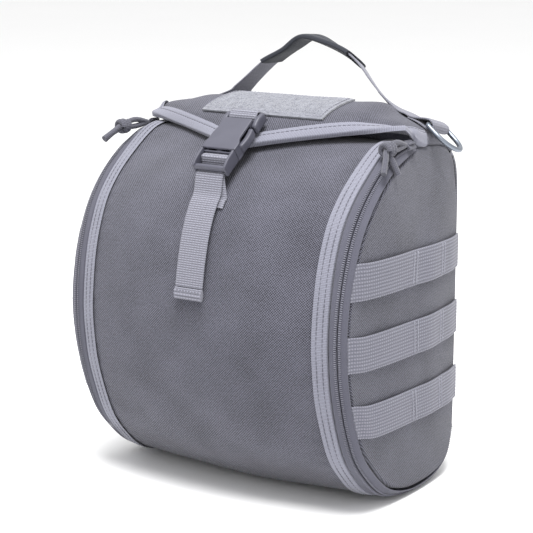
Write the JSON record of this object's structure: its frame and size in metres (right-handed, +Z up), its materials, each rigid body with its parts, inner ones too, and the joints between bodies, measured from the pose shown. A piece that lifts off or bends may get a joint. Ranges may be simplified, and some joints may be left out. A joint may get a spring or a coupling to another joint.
{
  "type": "tactical helmet bag",
  "caption": "Soft D-shaped padded bag for a helmet, its front zipped on both sides and held by a buckled flap, with a carry handle, webbing rows and shoulder rings.",
  "frame": {"origin": "centre of the bounding box in plan, at the level of the flat base", "axes": "+Z up, the rounded front towards -Y, the flat back towards +Y, +X to the side shown by the picture"},
  "size_m": [0.2574, 0.1954, 0.3229],
  "materials": {
    "cloth": "matt woven cloth",
    "zip": "woven zip tape",
    "binding": "grosgrain tape",
    "web": "webbing",
    "patch": "fuzzy loop pile",
    "plastic": "moulded satin",
    "metal": "satin",
    "slider": "painted",
    "cord": "braided cord",
    "grip": "matt woven cloth"
  },
  "bodies": {
    "bag": {"front_panel": "cloth", "back_panel": "cloth", "side_panel_right": "cloth", "side_panel_left": "cloth", "top_flap": "cloth", "zip_right": "zip", "zip_left": "zip", "front_binding_right": "binding", "front_binding_left": "binding", "flap_binding": "binding", "loop_patch": "patch", "web_row_right_1": "web", "web_row_right_2": "web", "web_row_right_3": "web", "web_row_left_1": "web", "web_row_left_2": "web", "web_row_left_3": "web", "buckle_strap_upper": "web", "buckle_female": "plastic", "buckle_male": "plastic", "buckle_strap_lower": "web", "strap_hem": "web", "handle_strap": "web", "handle_grip": "grip", "zip_slider_right": "slider", "zip_slider_left": "slider", "zip_pull_right": "cord", "zip_pull_left": "cord"},
    "ring_right": {"ring_right": "metal"},
    "ring_left": {"ring_left": "metal"}
  },
  "joints": [
    {"name": "ring_right_swing", "type": "hinge", "parent": "bag", "child": "ring_right", "pos_m": [0.108, 0.06, 0.2623], "axis": [0, -0.9703, 0.2419], "range_deg": [0, 110]},
    {"name": "ring_left_swing", "type": "hinge", "parent": "bag", "child": "ring_left", "pos_m": [-0.108, 0.06, 0.2623], "axis": [0, 0.9703, -0.2419], "range_deg": [0, 110]}
  ]
}
